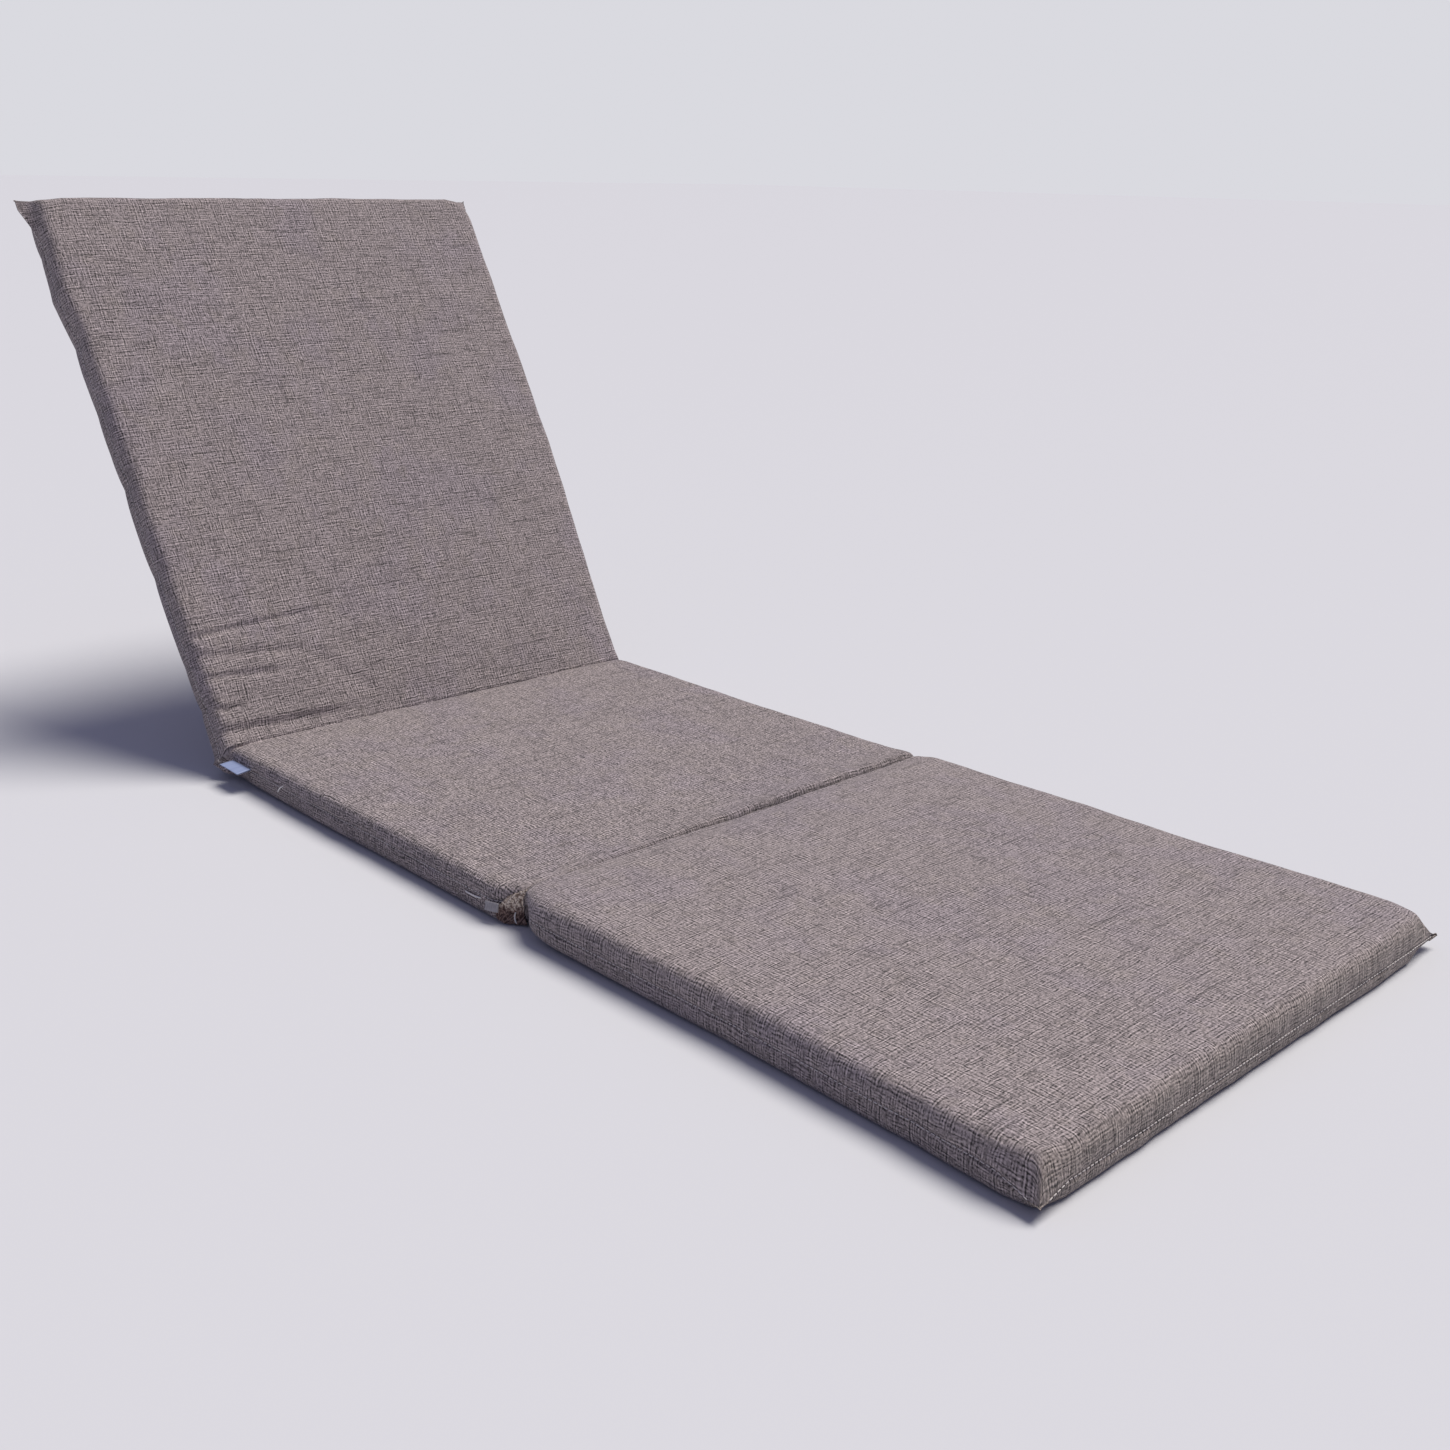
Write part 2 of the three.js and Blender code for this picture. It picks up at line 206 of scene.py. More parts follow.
def end_rows(pad, at_start, kind):
    """Rows over a pad's end, each with its pad, place along it, rise, turn into a crease, press at the
    fold and whether it is in a crease."""
    rows = []
    for rise in EDGE_RISES if kind == "open" else CHANNEL_RISES:
        inset = float(inset_at(rise))
        distance = BOTTOM_RADIUS * inset if kind == "open" else CHANNEL_HALF + CHANNEL_RADIUS * inset
        press = (1 if at_start else -1) if kind == "fold" else 0
        along = distance if at_start else LENGTHS[pad] - distance
        turned = 0 if kind == "open" else (inset if at_start else -inset)
        rows.append((pad, along, rise, turned, press, kind != "open"))
    return rows if at_start else rows[::-1]


def inner_rows(pad, start, end, step=ROW_STEP):
    count = round((end - start) / step)
    return [(pad, start + (end - start) * k / count, 1, 0, 0, False) for k in range(1, count)]


channel_end = CHANNEL_HALF + CHANNEL_RADIUS
fold_end = channel_end + (THICK["seat"] - SEAT_SEAM) * PRESS_LEAN
rows = (
    end_rows("leg", True, "open")
    + inner_rows("leg", BOTTOM_RADIUS, LENGTHS["leg"] - channel_end)
    + end_rows("leg", False, "channel")
    + [("seat", 0, 0, 0, 0, True)]
    + end_rows("seat", True, "channel")
    + inner_rows("seat", channel_end, LENGTHS["seat"] - fold_end)
    + end_rows("seat", False, "fold")
    + [("back", 0, 0, 0, 1, True)]
    + end_rows("back", True, "fold")
    + inner_rows("back", fold_end, WRINKLED, WRINKLED_STEP)
    + inner_rows("back", WRINKLED - ROW_STEP, LENGTHS["back"] - BOTTOM_RADIUS)
    + end_rows("back", False, "open")
)
row_pad = np.array([row[0] for row in rows])
row_along, row_rise, row_turned, row_press = (
    np.array([row[k] for row in rows], float)[:, None] for k in (1, 2, 3, 4)
)
in_crease = np.array([row[5] for row in rows])[:, None]

inner_count = round(2 * INNER_SHARE * HALF_WIDTH / COLUMN_STEP)
shares = np.linspace(-INNER_SHARE, INNER_SHARE, inner_count + 1)
edge_rises = np.array(EDGE_RISES, float)
edge_side, no_share = np.ones(len(edge_rises)), np.full(len(edge_rises), np.nan)
edge_inset, no_inset = inset_at(edge_rises), np.full(len(shares), np.inf)
column_side = np.concatenate([-edge_side, np.where(shares < 0, -1.0, 1.0), edge_side])
column_rise = np.concatenate([edge_rises, np.ones(len(shares)), edge_rises[::-1]])
column_inset = np.concatenate([edge_inset, no_inset, edge_inset[::-1]])
column_share = np.concatenate([no_share, shares, no_share])
near_columns = column_side < 0


def by_pad(values):
    return np.array([values[pad] for pad in row_pad], float)[:, None]


def of_side(make):
    """A value for each row and column from one for each pad and side."""
    return np.where(near_columns[None, :], make(-1), make(1))


length = by_pad(LENGTHS)
thick = by_pad(THICK)
at_leg, at_seat, at_back = (row_pad[:, None] == pad for pad in PAD_NAMES)
from_channel = np.where(at_leg, length - row_along, row_along)
from_fold = np.where(at_seat, length - row_along, row_along)


def notch_depth(side, crease, distance):
    depth, reach = NOTCHES[crease, side]
    return depth * (1 - smooth(distance / reach))


def sewn_half(side):
    """The half width to the seam, drawn in at the tucks and notches."""
    start, middle, end = (
        by_pad({pad: WIDTHS[pad, side][k] for pad in PAD_NAMES}) for k in range(3)
    )
    share = 2 * row_along / length
    half = start + (middle - start) * smooth(share) + (end - middle) * smooth(share - 1)
    for pad, tuck_side, along, depth, reach in TUCKS:
        if tuck_side == side:
            tuck = depth * np.exp(-np.abs(row_along - along) / (TUCK_POINT * reach))
            half = half - (row_pad[:, None] == pad) * tuck
    half = half - np.where(at_back, 0, notch_depth(side, "channel", from_channel))
    return half - np.where(at_leg, 0, notch_depth(side, "fold", from_fold))


half = of_side(sewn_half)
notch_in = of_side(lambda side: notch_depth(side, "channel", from_channel) * ~at_back)
slump = np.where(at_back, 0, SLUMP_DEPTH * (1 - smooth(from_channel / SLUMP_REACH))) * near_columns
seam_start, seam_side, seam_end = (
    by_pad({pad: SEAM_HEIGHTS[pad][k] for pad in PAD_NAMES}) for k in range(3)
)
seam = (
    seam_side
    + (seam_start - seam_side) * (1 - smooth(row_along / SEAM_REACH))
    + (seam_end - seam_side) * (1 - smooth((length - row_along) / SEAM_REACH))
)
# Where each pad's foot end lies on the ground line, with the back turned about the fold's seam
pad_turn = by_pad({"leg": 0, "seat": 0, "back": LEAN})
seat_foot, seat_head = -LENGTHS["seat"] / 2, LENGTHS["seat"] / 2
back_foot = seat_head + BACK_SEAM * math.sin(LEAN)
pad_y = by_pad({"leg": seat_foot - LENGTHS["leg"], "seat": seat_foot, "back": back_foot})
pad_z = by_pad({"leg": 0, "seat": 0, "back": SEAT_SEAM - BACK_SEAM * math.cos(LEAN)})


def wrinkle_depth(x):
    """How far the back's face is pressed in by its wrinkles, which fade out at both ends."""
    total = np.zeros_like(x)
    for from_x, from_along, to_x, to_along, depth, width in WRINKLES:
        share = (x - from_x) / (to_x - from_x)
        fade = smooth(share * FADE_IN + FADE_AHEAD) * smooth((1 - share) * FADE_OUT)
        offset = (row_along - (from_along + (to_along - from_along) * share)) / width
        rim = RIM_SHARE * np.exp(-((offset - RIM_OFFSET) ** 2))
        total = total + depth * fade * (np.exp(-offset * offset) - rim)
    return total * at_back


def panel(on_top):
    """One panel of the cover, as a grid of points in millimetres, rows along it and columns across."""
    top_radius = BOTTOM_RADIUS + (TOP_RADIUS + slump - BOTTOM_RADIUS) * np.where(in_crease, 1, row_rise)
    radius = top_radius if on_top else np.full_like(top_radius, BOTTOM_RADIUS)
    inset = np.where(np.isinf(column_inset), 0, column_inset)
    edge = column_side * (half + (1 - NOTCH_TOP) * notch_in * column_rise * on_top - radius * inset)
    x = np.where(np.isnan(column_share), edge, np.nan_to_num(column_share) * half)

    def across(values):
        return np.interp(x, CREASE_X, values)

    depth = np.where(row_press != 0, across(FOLD_DEPTHS), across(CHANNEL_DEPTHS))
    row_top_rise = np.where(in_crease, 1 - depth * (1 - row_rise), row_rise)
    under_depth = np.where(row_press != 0, across(UNDER_FOLD_DEPTHS), 1)
    row_bottom_rise = np.where(in_crease, 1 - under_depth * (1 - row_rise), row_rise)
    rise = column_rise * (row_top_rise if on_top else row_bottom_rise)
    lengthwise = 2 * row_along / length - 1
    crown = CROWN * np.maximum(0, 1 - (x / HALF_WIDTH) ** CROWN_FLATNESS)
    crown = crown * np.maximum(0, 1 - lengthwise**CROWN_FLATNESS)
    dip = across(LEG_DIPS) * at_leg + across(SEAT_DIPS) * at_seat
    dip = dip * (1 - smooth((length - row_along) / DIP_REACH))
    dip = dip - across(SEAT_RISES) * at_seat * (1 - smooth(row_along / RISE_REACH))
    under_lift = np.zeros_like(x)
    for pad, lifts in UNDER_LIFTS.items():
        for rise_mm, reach in lifts:
            near_head_end = 1 - smooth((length - row_along) / reach)
            under_lift += rise_mm * near_head_end * (row_pad[:, None] == pad)
    near_side = smooth((-x - UNDER_LIFT_FROM) / (UNDER_LIFT_TO - UNDER_LIFT_FROM))
    under_lift = under_lift * near_columns * near_side
    web = column_rise * WEB_HALF
    if on_top:
        full = thick - seam - dip + (crown - wrinkle_depth(x)) * row_rise
        up = np.maximum(rise * full, web)
        face_down = across(SEAT_DIPS) / math.sin(LEAN) * (1 - smooth(row_along / DIP_FADE))
        along = row_along + row_press * up * PRESS_LEAN - face_down * at_back
        for (pad, at_start), radii in CREASE_RADII.items():
            here = (row_pad[:, None] == pad) & ((row_turned > 0) if at_start else (row_turned < 0))
            along = along + here * row_turned * (across(radii) - CHANNEL_RADIUS)
    else:
        up = np.minimum(rise * (under_lift - seam), -web)
        along = row_along
    height = seam + up
    sideways, onward, down = np.zeros_like(x), np.zeros_like(x), np.zeros_like(x)
    for pad, side, out, on, lower, reach, hollow in EARS:
        here = (row_pad[:, None] == pad) & (column_side == side)
        foot = pad == "leg"
        from_end = row_along if foot else length - row_along
        inset_mm = np.where(np.isinf(column_inset), FAR_AWAY, TOP_RADIUS * column_inset)
        from_tip = np.hypot(from_end, inset_mm)
        near = here * np.clip((reach - from_tip) / (reach - EAR_FLAT), 0, 1) ** EAR_TAPER
        strength = near * (1 - np.clip(rise, 0, 1)) ** EAR_POINT
        shrink = near * hollow * rise * (2 - rise)
        sideways += side * (strength * out - shrink)
        onward += (-1 if foot else 1) * (strength * on - shrink)
        down += strength * lower
    along, height = along + onward, height - down
    cos, sin = np.cos(pad_turn), np.sin(pad_turn)
    y, z = pad_y + along * cos - height * sin, pad_z + along * sin + height * cos
    bunch = (x < BUNCH_WITHIN) * smooth(1 - np.hypot(y - BUNCH_Y, z - BUNCH_Z) / BUNCH_REACH)
    return np.stack([x + sideways - BUNCH_OUT * bunch, y, z], axis=-1)


def thread_counts(grid, shift):
    """How far along and across the cloth each point lies, so that the weave follows the cloth."""
    widths = np.linalg.norm(np.diff(grid, axis=1), axis=2)
    across = np.concatenate([np.zeros((len(grid), 1)), widths.cumsum(axis=1)], axis=1)
    middle = grid.shape[1] // 2
    across = across - across[:, middle : middle + 1]
    lengthwise = run_of(grid[:, middle])[:, None] + np.zeros_like(across)
    return np.stack([across, lengthwise, np.full_like(across, shift)], axis=-1)


top, bottom = panel(True), panel(False)
row_count, column_count = top.shape[:2]
top_index = np.arange(row_count * column_count).reshape(row_count, column_count)
bottom_index = np.full((row_count, column_count), -1)
inside = (row_count - 2, column_count - 2)
bottom_index[1:-1, 1:-1] = top_index.size + np.arange(inside[0] * inside[1]).reshape(inside)
on_rim = bottom_index < 0
bottom_index[on_rim] = top_index[on_rim]
points = np.concatenate([top.reshape(-1, 3), bottom[1:-1, 1:-1].reshape(-1, 3)])


def at_corners(grid, flipped):
    """What a grid holds at the four corners of each of its cells."""
    corners = [grid[:-1, :-1], grid[:-1, 1:], grid[1:, 1:], grid[1:, :-1]]
    return np.stack(corners[::-1] if flipped else corners, axis=2)


def quads(index, flipped):
    return at_corners(index, flipped).reshape(-1, 4)


# The bottom panel's cloth is a cut of its own, so its weave is shifted
BOTTOM_SHIFT = 900
top_cloth, bottom_cloth = thread_counts(top, 0), thread_counts(bottom, BOTTOM_SHIFT)
faces = np.concatenate([quads(top_index, False), quads(bottom_index, True)])
cloth_at = np.concatenate(
    [at_corners(top_cloth, False).reshape(-1, 3), at_corners(bottom_cloth, True).reshape(-1, 3)]
)


def make_mesh(name, points_mm, faces):
    mesh = bpy.data.meshes.new(name)
    plain_faces = [list(map(int, face)) for face in faces]
    mesh.from_pydata((np.asarray(points_mm) * MM).tolist(), [], plain_faces)
    mesh.shade_smooth()
    piece = bpy.data.objects.new(name, mesh)
    scene.collection.objects.link(piece)
    return piece


def set_cloth(piece, values_mm):
    cloth = piece.data.attributes.new("cloth", "FLOAT_VECTOR", "CORNER")
    cloth.data.foreach_set("vector", (np.asarray(values_mm) * MM).astype(np.float32).ravel())


cushion = make_mesh("padded_cushion", points, faces)
set_cloth(cushion, cloth_at)

# The foam and the cloth over it are never quite even: shallow swells and puckers on the faces, facets
# and gathers on the sides, and a dip along the seam. Each has its height, its size and its reach.
SWELL, SWELL_SIZE = 1.3, 130
PUCKER, PUCKER_SIZE, PUCKER_START = 0.7, 38, Vector((7, 3, 5))
GATHER, GATHER_SIZE, GATHER_REACH, GATHER_LEAST = 1.0, 9, 8, 0.05
FACET, FACET_SIZE, FACET_REACH, FACET_START = 2.2, 27, 10, Vector((2, 8, 1))
SEAM_DIP, SEAM_DIP_REACH, SEAM_DIP_END = 1.3, 1.6, 8
SEAM_EVEN = 4
normals = np.empty(len(points) * 3, np.float32)
cushion.data.vertex_normals.foreach_get("vector", normals)
normals = normals.reshape(-1, 3)
over_top = (column_rise * np.where(in_crease, 1, row_rise)) * (thick - seam)
over_bottom = ((column_rise * row_rise) * seam)[1:-1, 1:-1]
over_seam = np.concatenate([over_top.reshape(-1), over_bottom.reshape(-1)])
is_top = np.arange(len(points)) < top_index.size
underneath = ~is_top & (over_seam > SEAT_SEAM - SEAM_EVEN)
lift = np.empty(len(points))
for k, point in enumerate(points):
    place = Vector(point)
    lift[k] = SWELL * noise.noise(place / SWELL_SIZE)
    lift[k] += PUCKER * noise.noise(place / PUCKER_SIZE + PUCKER_START)
    gathered = GATHER * math.exp(-over_seam[k] / GATHER_REACH)
    if gathered > GATHER_LEAST:
        flat_place = Vector((place.x, place.y, 0))
        lift[k] += gathered * noise.noise(flat_place / GATHER_SIZE)
        faceted = FACET * math.exp(-over_seam[k] / FACET_REACH)
        lift[k] += faceted * noise.noise(place / FACET_SIZE + FACET_START)
lift = np.where(underneath, 0, lift * smooth(over_seam / SEAM_EVEN))
seam_dip = SEAM_DIP * np.exp(-((over_seam / SEAM_DIP_REACH) ** 2))
lift = lift - seam_dip * (over_seam < SEAM_DIP_END)
points = points + normals * lift[:, None]
points[:, 2] = np.maximum(points[:, 2], 0)
cushion.data.vertices.foreach_set("co", (points * MM).astype(np.float32).ravel())
cushion.data.update()


class Shade:
    """A value in a material. Sums, differences and products of these add Math nodes."""

    def __init__(self, tree, socket=None):
        self.tree, self.socket = tree, socket

    def node(self, kind, settings=None, sockets=None, output=0):
        made = self.tree.nodes.new("ShaderNode" + kind)
        for name, value in (settings or {}).items():
            setattr(made, name, value)
        for name, value in (sockets or {}).items():
            if isinstance(value, Shade):
                self.tree.links.new(value.socket, made.inputs[name])
            else:
                made.inputs[name].default_value = value
        return Shade(self.tree, made.outputs[output])

    def math(self, operation, *values):
        return self.node("Math", {"operation": operation}, dict(enumerate(values)))

    def vector(self, operation, *values):
        return self.node("VectorMath", {"operation": operation}, dict(enumerate(values)))

    def blend(self, factor, first, second):
        return self.node("Mix", {"data_type": "RGBA"}, {0: factor, 6: first, 7: second}, 2)

    def dot(self, vector):
        """How far along a direction this place lies."""
        return self.node("VectorMath", {"operation": "DOT_PRODUCT"}, {0: self, 1: vector}, output=1)

    def __add__(self, other):
        return self.math("ADD", self, other)

    def __sub__(self, other):
        return self.math("SUBTRACT", self, other)

    def __rsub__(self, other):
        return self.math("SUBTRACT", other, self)

    def __mul__(self, other):
        return self.math("MULTIPLY", self, other)

    def between(self, low, high):
        """0 below low, 1 above high, smooth between them."""
        limits = {"Value": self, "From Min": low, "From Max": high}
        return self.node("MapRange", {"interpolation_type": "SMOOTHSTEP"}, limits)

    __radd__, __rmul__ = __add__, __mul__


def new_material(name, **surface):
    """A material with its surface's constant values, a Shade to add nodes with, and its shader."""
    material = bpy.data.materials.new(name)
    material.use_nodes = True
    shader = material.node_tree.nodes["Principled BSDF"]
    for socket, value in surface.items():
        shader.inputs[socket.replace("_", " ")].default_value = value
    return material, Shade(material.node_tree), shader


def lay_of(shade):
    """Where each point lies on its flat cloth, in metres, as set_cloth wrote it."""
    return shade.node("Attribute", {"attribute_name": "cloth"}, output=1)


def set_surface(material, shader, colour, relief, strength, depth):
    """Gives a material's shader its colour and its relief, whose depth is in metres."""
    bump = colour.node("Bump", None, {"Strength": strength, "Distance": depth, "Height": relief})
    material.node_tree.links.new(colour.socket, shader.inputs["Base Color"])
    material.node_tree.links.new(bump.socket, shader.inputs["Normal"])


# The cloth's two directions, the roughness of all its noises, the number that sets yarns apart, and
# how far a seed moves a noise in each direction
ACROSS, ALONG = (1.0, 0.0, 0.0), (0.0, 1.0, 0.0)
THREAD_ROUGHNESS, YARN_APART, SEED_STEPS = 0.6, 7.31, (1, 0.37, 1.7)


def soft_noise(shade, place, detail, roughness, seed):
    """Noise of one unit's size at a place, from 0 to 1, started somewhere else for each seed."""
    moved = shade.vector("ADD", place, tuple(seed * step for step in SEED_STEPS))
    sockets = {"Vector": moved, "Scale": 1.0, "Detail": detail, "Roughness": roughness}
    return shade.node("TexNoise", {"noise_dimensions": "3D"}, sockets)


def threads(shade, cloth, across_mm, along_mm, detail=2.0, seed=0.0):
    """Noise stretched into yarns: so many millimetres across the cushion and along it."""
    stretched = shade.vector("MULTIPLY", cloth, (1 / (across_mm * MM), 1 / (along_mm * MM), 1))
    return soft_noise(shade, stretched, detail, THREAD_ROUGHNESS, seed)


def yarns(shade, cloth, pitch_mm, dash_mm, lengthwise, seed):
    """Separate yarns, each with its own paler and darker dashes along it."""
    sizes = (pitch_mm, dash_mm) if lengthwise else (dash_mm, pitch_mm)
    only = (1, 0, 0) if lengthwise else (0, 1, 0)
    apart = (YARN_APART, 1, 1) if lengthwise else (1, YARN_APART, 1)
    stretched = shade.vector("MULTIPLY", cloth, (*(1 / (size * MM) for size in sizes), 1))
    within = shade.vector("MULTIPLY", shade.vector("FRACTION", stretched), only)
    own = shade.vector("MULTIPLY", shade.vector("SUBTRACT", stretched, within), apart)
    return soft_noise(shade, own, 1.0, THREAD_ROUGHNESS, seed)


def ribs(shade, cloth, pitch_mm, lengthwise, group_across_mm, group_along_mm, seed):
    """Groups of pale and dark yarns side by side, fading in and out: from -1 to 1."""
    place = cloth.dot(ACROSS if lengthwise else ALONG)
    wave = shade.math("SINE", place * (2 * math.pi / (pitch_mm * MM)))
    group = threads(shade, cloth, group_across_mm, group_along_mm, 1.0, seed)
    return wave * group.between(0.42, 0.60)


def yarn_material(name, yarn_mm, seed, limits, dark, pale, strength, depth, **surface):
    """A material of one pattern of yarns, with a dark and a pale tone and a relief."""
    material, shade, shader = new_material(name, **surface)
    pattern = threads(shade, lay_of(shade), *yarn_mm, 1.0, seed)
    colour = shade.blend(pattern.between(*limits), (*dark, 1), (*pale, 1))
    set_surface(material, shader, colour, pattern, strength, depth)
    return material


# Where the channel and the fold lie along the cloth, and the marks near the sewing: the band of puckers
# beside the channel, which also gets painted shade, a dark line of painted shade in the channel's crease,
# and the foot's end face, with painted shade and the painted shadows of its puckers
cloth_places = top_cloth[:, column_count // 2, 1] * MM
channel_place = float(cloth_places[int(np.flatnonzero(at_seat[:, 0])[0])])
seat_cloth_end = float(cloth_places[int(np.flatnonzero(at_back[:, 0])[0])]) - channel_place
BAND_SOFT, BAND_FULL, BAND_END = 0.004, 0.012, 0.034
CREASE_LINE_CORE, CREASE_LINE_EDGE = 0.001, 0.003
END_FACE_FULL, END_FACE_EDGE = 0.014, 0.034
SEAT_FADE_START, SEAT_FADE = 0.02, 0.02
# The yarns' pitch and the length of their dashes, and the slubs': thicker, longer and fewer
YARN_PITCH, WARP_DASH, WEFT_DASH = 1.25, 2.4, 2.6
SLUB_PITCH, WARP_SLUB, WEFT_SLUB = 1.5, 40, 52
RIB_PITCH, WIDE_RIB_PITCH = 2.7, 4.2
# How far the yarns stray from straight lines, over longer and shorter stretches
STRAY, STRAY_SCALE, RIPPLE, RIPPLE_SCALE = 0.004, 11.0, 0.0032, 90.0
# How much each part of the weave adds to its tone, and how the tone becomes brightness
FINE_TONE, RIB_TONE, WIDE_RIB_TONE, BASE_TONE = 0.32, 0.31, 0.23, 0.18
# On the seat the weave gets more contrast, painted light and shade of its yarns' relief, and is painted a
# little darker
SEAT_FINE_PAINTED_CONTRAST, SEAT_RIB_PAINTED_CONTRAST, SEAT_DARKER = 0.13, 0.11, 0.028
LEVEL_GAIN, LEVEL_BASE, LEVEL_LEAST = 1.50, 0.25, 0.15
# Slubs darken the cloth itself; the band beside the channel, the puckers and the crease's line get
# painted shade
SLUB_DARKER, BESIDE_PAINTED_SHADE, PUCKER_PAINTED_SHADOW, CREASE_LINE_PAINTED_SHADE = 0.36, 0.08, 0.15, 0.55
# Painted shade on the bottom panel and on the foot's end face, and painted shadows of the end face's
# puckers
BOTTOM_PAINTED_SHADE, END_FACE_PAINTED_SHADE, END_PUCKER_PAINTED_SHADOW = 0.09, 0.04, 0.16
PUCKER_RELIEF, END_PUCKER_RELIEF = 6.0, 8.0
MAIN_YARN, VIOLET_YARN = (0.262, 0.222, 0.222, 1), (0.250, 0.211, 0.233, 1)
# Browner yarns for the clouds, and the end face's browner tint, which is painted shade
BROWN_YARN, END_FACE_SHADE_TINT = (0.264, 0.224, 0.212, 1), (0.262, 0.220, 0.202, 1)
VIOLET_SHARE, BROWN_SHARE, END_SHADE_TINT_SHARE = 0.5, 0.4, 0.9

linen, shade, shader = new_material(
    "linen_look_cloth", Roughness=0.93, Sheen_Weight=0.1, Sheen_Roughness=0.6, Specular_IOR_Level=0.25
)
flat_cloth = lay_of(shade)
cloth = flat_cloth
for amount, scale in ((STRAY, STRAY_SCALE), (RIPPLE, RIPPLE_SCALE)):
    sockets = {"Vector": flat_cloth, "Scale": scale, "Detail": 1.0}
    wander = shade.node("TexNoise", {"noise_dimensions": "3D"}, sockets, output=1)
    cloth = shade.vector("ADD", cloth, shade.vector("MULTIPLY", wander, (amount, amount, 0)))
warp = yarns(shade, cloth, YARN_PITCH, WARP_DASH, True, seed=1.3)
weft = yarns(shade, cloth, YARN_PITCH, WEFT_DASH, False, seed=4.1)
fine = warp.between(0.40, 0.60) + weft.between(0.40, 0.60)
rib = ribs(shade, cloth, RIB_PITCH, True, 7, 14, seed=8.2)
rib = rib + ribs(shade, cloth, RIB_PITCH, False, 14, 7, seed=2.9)
wide_rib = ribs(shade, cloth, WIDE_RIB_PITCH, True, 10, 18, seed=5.7)
wide_rib = wide_rib + ribs(shade, cloth, WIDE_RIB_PITCH, False, 18, 10, seed=7.1)
slub_warp = yarns(shade, cloth, SLUB_PITCH, WARP_SLUB, True, seed=5.2).between(0.63, 0.68)
slub_weft = yarns(shade, cloth, SLUB_PITCH, WEFT_SLUB, False, seed=6.9).between(0.62, 0.67)
slub = shade.math("MAXIMUM", slub_warp, slub_weft)
patches = threads(shade, cloth, 90, 110, 2.0, seed=3.3)
clouds = threads(shade, cloth, 20, 24, 1.0, seed=6.6)

from_foot_seam = flat_cloth.dot(ALONG)
past_channel = from_foot_seam - channel_place
beside = past_channel.between(-BAND_SOFT, BAND_SOFT)
beside = beside * (1 - past_channel.between(BAND_FULL, BAND_END))
puckers = threads(shade, flat_cloth, 6, 40, 1.0, seed=7.7)
# Where the puckers beside the channel lie, darkened below as their painted shadows
pucker_shadow = puckers.between(0.50, 0.62) * beside
# A narrow line at the bottom of the channel's crease, darkened below as painted shade
crease_line_shade = past_channel.between(-CREASE_LINE_EDGE, -CREASE_LINE_CORE)
crease_line_shade = crease_line_shade * (1 - past_channel.between(CREASE_LINE_CORE, CREASE_LINE_EDGE))
end_face = 1 - from_foot_seam.between(END_FACE_FULL, END_FACE_EDGE)
end_puckers = threads(shade, flat_cloth, 9, 70, 1.0, seed=9.4)
# Where the puckers down the foot's end face lie, darkened below as their painted shadows
end_pucker_shadow = end_puckers.between(0.42, 0.60) * end_face
on_seat = past_channel.between(SEAT_FADE_START, SEAT_FADE_START + SEAT_FADE)
on_seat = on_seat * (1 - past_channel.between(seat_cloth_end - SEAT_FADE, seat_cloth_end))

tone = fine * FINE_TONE + rib * RIB_TONE + wide_rib * WIDE_RIB_TONE + BASE_TONE
# The seat's painted light and shade: more contrast in its weave, and a little darker
tone = tone + on_seat * ((fine - 1.0) * SEAT_FINE_PAINTED_CONTRAST + rib * SEAT_RIB_PAINTED_CONTRAST - SEAT_DARKER)
ground = shade.blend(patches.between(0.45, 0.65) * VIOLET_SHARE, MAIN_YARN, VIOLET_YARN)
ground = shade.blend(clouds.between(0.55, 0.70) * BROWN_SHARE, ground, BROWN_YARN)
# The foot's end face is tinted browner: painted shade
ground = shade.blend(end_face * END_SHADE_TINT_SHARE, ground, END_FACE_SHADE_TINT)
level = shade.math("MAXIMUM", tone * LEVEL_GAIN + LEVEL_BASE, LEVEL_LEAST)
# Slubs darken the cloth; the band beside the channel is darkened with painted shade
level = level * (1 - slub * SLUB_DARKER) * (1 - beside * BESIDE_PAINTED_SHADE)
# Painted shade over the bottom panel, which faces the ground
level = level * (1 - flat_cloth.dot((0.0, 0.0, BOTTOM_PAINTED_SHADE)))
# Painted shadows of the puckers beside the channel, and a dark line of painted shade in its crease
level = level * (1 - pucker_shadow * PUCKER_PAINTED_SHADOW) * (1 - crease_line_shade * CREASE_LINE_PAINTED_SHADE)
# Painted shade on the foot's end face, and painted shadows of its puckers
level = level * (1 - end_face * END_FACE_PAINTED_SHADE) * (1 - end_pucker_shadow * END_PUCKER_PAINTED_SHADOW)
colour = shade.node("VectorMath", {"operation": "SCALE"}, {0: ground, "Scale": level})
relief = tone + puckers * beside * PUCKER_RELIEF + end_puckers * end_face * END_PUCKER_RELIEF
set_surface(linen, shader, colour, relief, strength=0.5, depth=0.0008)

cushion.data.materials.append(linen)
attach(cushion, "root")
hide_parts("cushion")


# THE LABEL.
# A short length of woven ribbon, folded in two and sewn into the near side seam beside the fold, so
# that its folded end stands out. Nothing is on it.
LABEL_WIDTH, LABEL_OUT, RIBBON, LABEL_GAP = 42, 17, 0.3, 0.5
# How far its sewn edge lies inside the box of its solid, and how much it is turned along the side
LABEL_IN, LABEL_DOWN, LABEL_TURN = 0.2, 0.6, 0.02
STRIP_STEPS, STRIP_COLUMNS, TURN_START = 6, 15, 0.3
STRIP_CURL, CURL_TURN, CURL_START = 0.5, 3, 0.6


